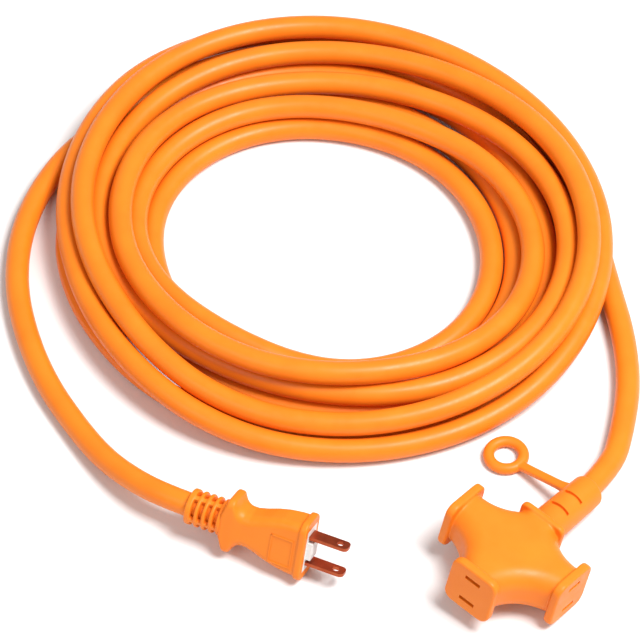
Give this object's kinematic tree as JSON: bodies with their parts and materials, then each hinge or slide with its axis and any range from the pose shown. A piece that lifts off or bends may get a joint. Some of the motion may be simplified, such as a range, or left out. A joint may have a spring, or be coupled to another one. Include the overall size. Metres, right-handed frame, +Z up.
{
  "type": "extension cord",
  "caption": "Coiled heavy-duty extension cord with a flat-blade plug at one end and a cross-shaped multi-outlet tap with a hang ring at the other.",
  "frame": {"origin": "on the surface the set lies on, below the middle of the tap with its cord bush and hang ring", "axes": "+Z up and through the hang ring, +X the way the tap's front outlet points, +Y towards its left outlet; the tap lies tipped 9 degrees up at the front and 6 degrees down at the left"},
  "size_m": [0.2957, 0.3346, 0.0335],
  "materials": {
    "orange_pvc": "satin moulded PVC",
    "cord_sheath": "smooth extruded PVC",
    "core_plastic": "moulded",
    "insert_plastic": "moulded",
    "brass": "rolled strip",
    "spring_brass": "rolled strip",
    "blade_metal": "polished, plated",
    "tinned_metal": "tinned",
    "copper": "bright stranded copper",
    "black_insulation": "satin",
    "white_insulation": "satin"
  },
  "bodies": {
    "root": {"tap_jacket": "orange_pvc", "tap_cord_bush": "orange_pvc", "core_upper_shell": "core_plastic", "core_lower_shell": "core_plastic", "core_partition": "core_plastic", "bus_strip_live": "brass", "bus_strip_neutral": "brass", "contact_front_live": "spring_brass", "contact_left_live": "spring_brass", "contact_right_live": "spring_brass", "contact_front_neutral": "spring_brass", "contact_left_neutral": "spring_brass", "contact_right_neutral": "spring_brass", "tap_crimp_live": "tinned_metal", "tap_crimp_neutral": "tinned_metal", "tap_wire_live": "black_insulation", "tap_wire_neutral": "white_insulation", "tap_copper_strands": "copper", "cord_tail_tap": "cord_sheath", "cord_coil": "cord_sheath", "cord_tail_plug": "cord_sheath", "plug_body": "orange_pvc", "plug_insert": "insert_plastic", "plug_blade_live": "blade_metal", "plug_blade_neutral": "blade_metal", "plug_strain_relief": "orange_pvc", "plug_crimp_live": "tinned_metal", "plug_crimp_neutral": "tinned_metal", "plug_wire_live": "black_insulation", "plug_wire_neutral": "white_insulation", "plug_copper_strands": "copper"},
    "ring": {"hang_ring": "orange_pvc"}
  },
  "joints": [
    {"name": "ring_strap_bend", "type": "hinge", "parent": "root", "child": "ring", "pos_m": [-0.0318, 0.0007, 0.0102], "axis": [-0.9949, 0.1004, 0], "range_deg": [0, 90], "stiffness_Nm_per_rad": 0.02}
  ]
}
